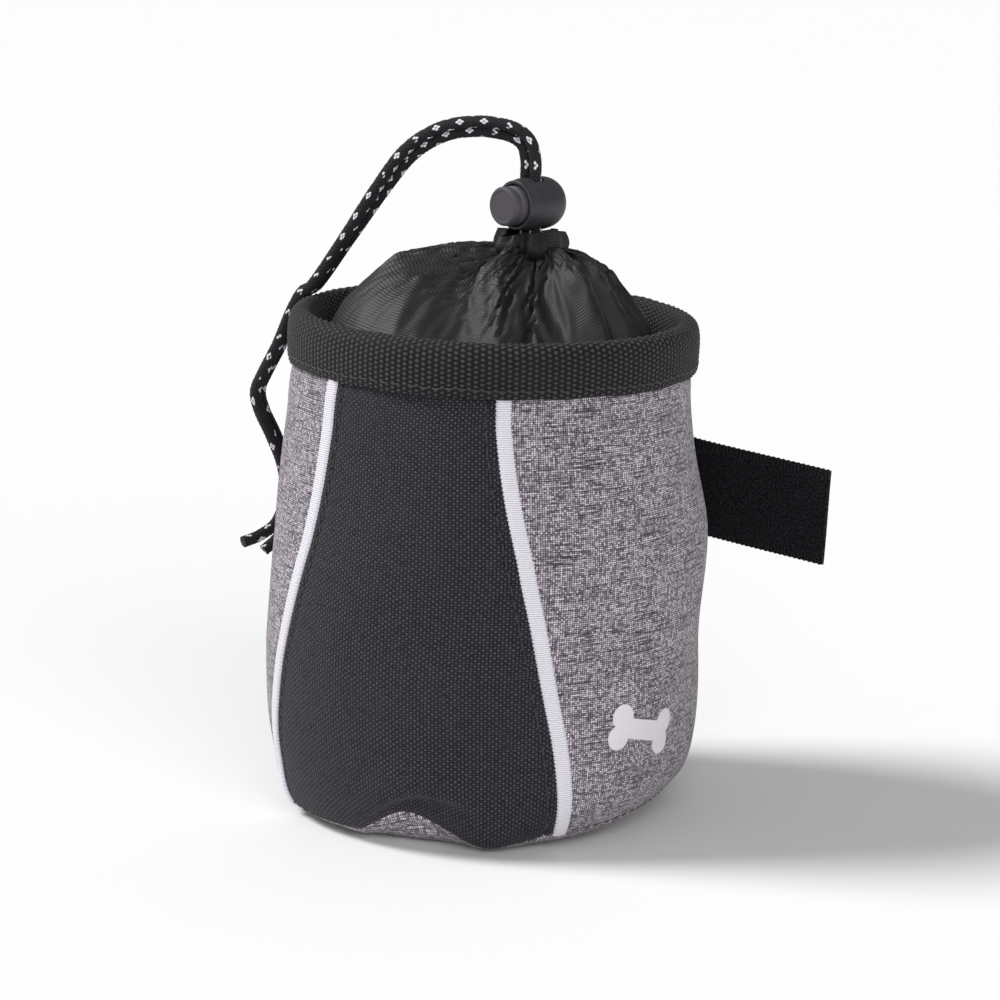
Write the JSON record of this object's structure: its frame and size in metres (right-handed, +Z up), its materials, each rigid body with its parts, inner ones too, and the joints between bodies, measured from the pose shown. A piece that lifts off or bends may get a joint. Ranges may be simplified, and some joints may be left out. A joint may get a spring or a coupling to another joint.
{
  "type": "treat pouch",
  "caption": "Round drawstring treat pouch with a stiff open rim, a gathered inner collar with a cord lock, and a hook-and-loop strap at the back.",
  "frame": {"origin": "centre of the underside of the round base", "axes": "+Z up through the mouth, -Y towards the front panel, +X towards the side where the loop tape sticks out"},
  "size_m": [0.1474, 0.1142, 0.1798],
  "materials": {
    "front_oxford": "coarse black oxford weave",
    "grey_heather": "two-tone grey heather weave with slubs",
    "white_ribbon": "white woven ribbon",
    "webbing": "ribbed black webbing",
    "collar_nylon": "black twill nylon with a sheen",
    "drawcord": "black braid with white tracer marks",
    "lock_plastic": "satin black moulding",
    "spring_steel": "bright spring wire",
    "foam": "closed-cell foam sheet",
    "lining": "smooth coated black lining",
    "board_plastic": "white plastic sheet",
    "loop_tape": "black loop pile with woven selvedges",
    "hook_tape": "black hook pile with woven selvedges"
  },
  "bodies": {
    "pouch": {"front_panel": "front_oxford", "side_back_panel": "grey_heather", "trim_left": "white_ribbon", "trim_right": "white_ribbon", "base_panel": "grey_heather", "base_board": "board_plastic", "lining_base": "lining", "lining_wall": "lining", "foam_interlining": "foam", "rim_binding": "webbing", "rim_stiffener": "board_plastic", "collar": "collar_nylon", "loop_strap_root": "loop_tape", "hook_strap_root": "hook_tape"},
    "neck": {"collar_hem": "collar_nylon", "drawcord_loop": "drawcord", "drawcord_strand_a": "drawcord", "drawcord_strand_b": "drawcord"},
    "lock": {"cord_lock_barrel": "lock_plastic", "cord_lock_spring": "spring_steel"},
    "button": {"cord_lock_plunger": "lock_plastic"},
    "cord_tails": {"drawcord_tail_a": "drawcord", "drawcord_tail_b": "drawcord"},
    "loop_bend": {"loop_strap_mid": "loop_tape"},
    "loop_end": {"loop_strap_end": "loop_tape"},
    "hook_bend": {"hook_strap_mid": "hook_tape"},
    "hook_end": {"hook_strap_end": "hook_tape"}
  },
  "joints": [
    {"name": "neck_lift", "type": "slide", "parent": "pouch", "child": "neck", "axis": [0, 0, 1], "range_m": [0, 0.008], "deforming": ["collar"]},
    {"name": "lock_slide", "type": "slide", "parent": "neck", "child": "lock", "axis": [0, 0, 1], "range_m": [0, 0.004]},
    {"name": "button_press", "type": "slide", "parent": "lock", "child": "button", "axis": [0.3746, 0.9272, 0], "range_m": [0, 0.0026], "stiffness_N_per_m": 150, "deforming": ["cord_lock_spring"]},
    {"name": "tail_swing", "type": "hinge", "parent": "neck", "child": "cord_tails", "pos_m": [-0.05022, -0.0033, 0.13435], "axis": [0, 1, 0], "range_deg": [0, 50]},
    {"name": "loop_fold", "type": "hinge", "parent": "pouch", "child": "loop_bend", "pos_m": [0.02922, 0.05112, 0.08], "axis": [0, 0, 1], "range_deg": [0, 106]},
    {"name": "loop_wrap", "type": "hinge", "parent": "loop_bend", "child": "loop_end", "pos_m": [0.04076, 0.04782, 0.08], "axis": [0, 0, 1], "range_deg": [0, 90.5]},
    {"name": "hook_fold", "type": "hinge", "parent": "pouch", "child": "hook_bend", "pos_m": [-0.02514, 0.05154, 0.08], "axis": [0, 0, -1], "range_deg": [0, 112]},
    {"name": "hook_wrap", "type": "hinge", "parent": "hook_bend", "child": "hook_end", "pos_m": [-0.03765, 0.04648, 0.08], "axis": [0, 0, -1], "range_deg": [0, 90.5]}
  ],
  "couplings": [
    {"joint": "loop_wrap", "follows": "loop_fold", "ratio": 0.849},
    {"joint": "hook_wrap", "follows": "hook_fold", "ratio": 0.8035}
  ]
}
